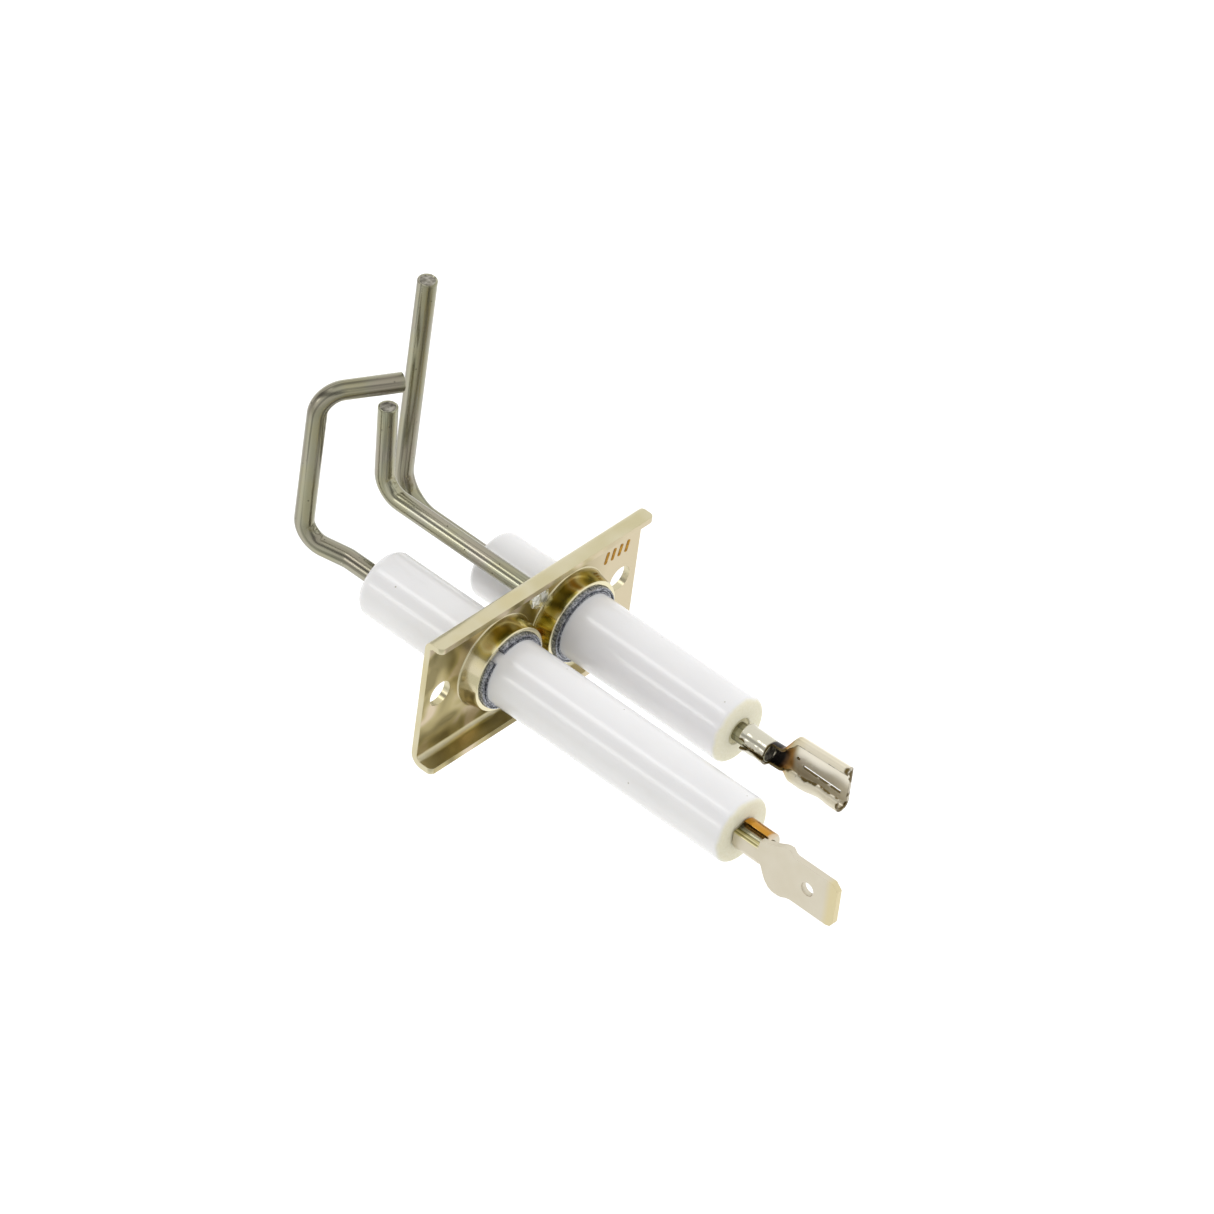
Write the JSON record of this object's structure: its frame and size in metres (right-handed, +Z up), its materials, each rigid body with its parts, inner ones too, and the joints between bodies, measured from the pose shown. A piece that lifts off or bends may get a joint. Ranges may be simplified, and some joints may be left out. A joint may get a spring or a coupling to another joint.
{
  "type": "ignition electrode",
  "caption": "Gas-burner ignition and flame-sensing electrode set: glazed ceramic insulators in a folded sheet-metal mounting plate, bent heat-resisting rods, crimped push-on terminals.",
  "frame": {"origin": "midway between the two fixing holes, on the flat face of the plate that lies against the burner door", "axes": "+Y out of that face along the insulators into the burner, +X along the plate towards the rear insulator, +Z up along the electrode posts"},
  "size_m": [0.036, 0.0844, 0.0423],
  "materials": {
    "plated_sheet": "pale yellow passivated zinc, satin",
    "glazed_insulator": "clear glaze on the side, bare cream ends",
    "packing_strip": "dark grey wound strip",
    "insulator_cement": "matt, fine grained",
    "electrode_wire": "drawn heat-resisting wire, olive grey",
    "weld_metal": "bright weld bead",
    "tab_brass": "tinned brass, amber on the barrel",
    "receptacle_brass": "tinned brass, oil-dark neck"
  },
  "bodies": {
    "root": {"mounting_plate": "plated_sheet", "front_insulator": "glazed_insulator", "rear_insulator": "glazed_insulator", "front_packing_ring": "packing_strip", "rear_packing_ring": "packing_strip", "front_burner_end_cement": "insulator_cement", "front_terminal_end_cement": "insulator_cement", "rear_burner_end_cement": "insulator_cement", "rear_terminal_end_cement": "insulator_cement", "spark_electrode": "electrode_wire", "flame_sensing_electrode": "electrode_wire", "earth_electrode": "electrode_wire", "earth_rod_weld": "weld_metal", "tab_terminal": "tab_brass", "receptacle_terminal": "receptacle_brass"}
  },
  "joints": []
}
